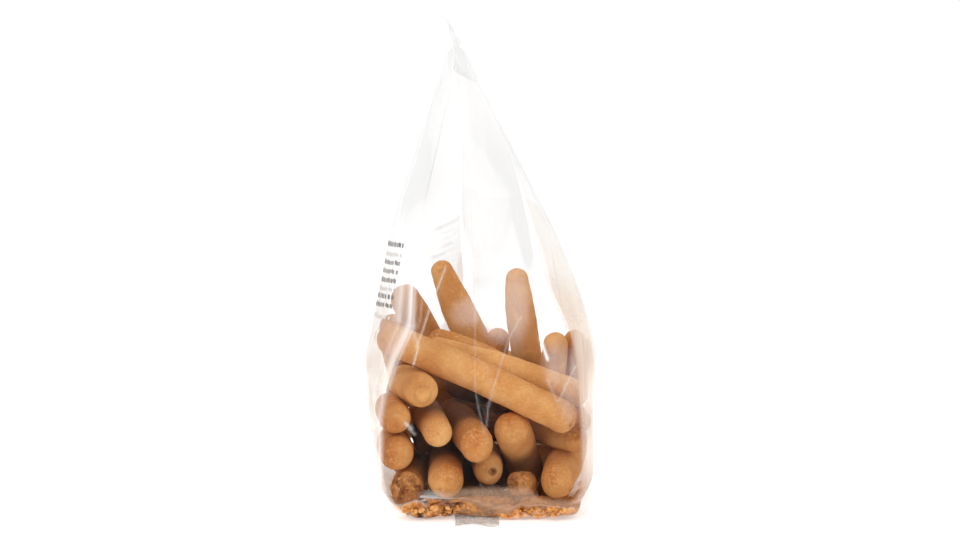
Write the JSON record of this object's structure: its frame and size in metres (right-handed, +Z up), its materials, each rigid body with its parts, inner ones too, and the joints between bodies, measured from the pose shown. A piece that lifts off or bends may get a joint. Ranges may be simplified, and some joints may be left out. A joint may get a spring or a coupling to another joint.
{
  "type": "bag of grissini breadsticks",
  "caption": "Clear side-gusseted film bag of short plump breadsticks, half full, standing on its base and tapering to a flat top seal.",
  "frame": {"origin": "centre of the bounding box in X and Y, on the surface that the bag stands on", "axes": "+Z up, from the base to the top seal; -Y and +Y through the two folded gussets; -X and +X through the two flat panels; the seals run along Y"},
  "size_m": [0.103, 0.116, 0.215],
  "materials": {
    "film": "clear glossy bag film with soft creases and faint haze",
    "bread": "baked golden tan crust, matt, finely pitted, unevenly browned",
    "crumb": "dry orange-brown crumbs, matt and rough",
    "print": "plain dark printed bars on film"
  },
  "bodies": {
    "root": {"bag": "film"}
  },
  "joints": []
}
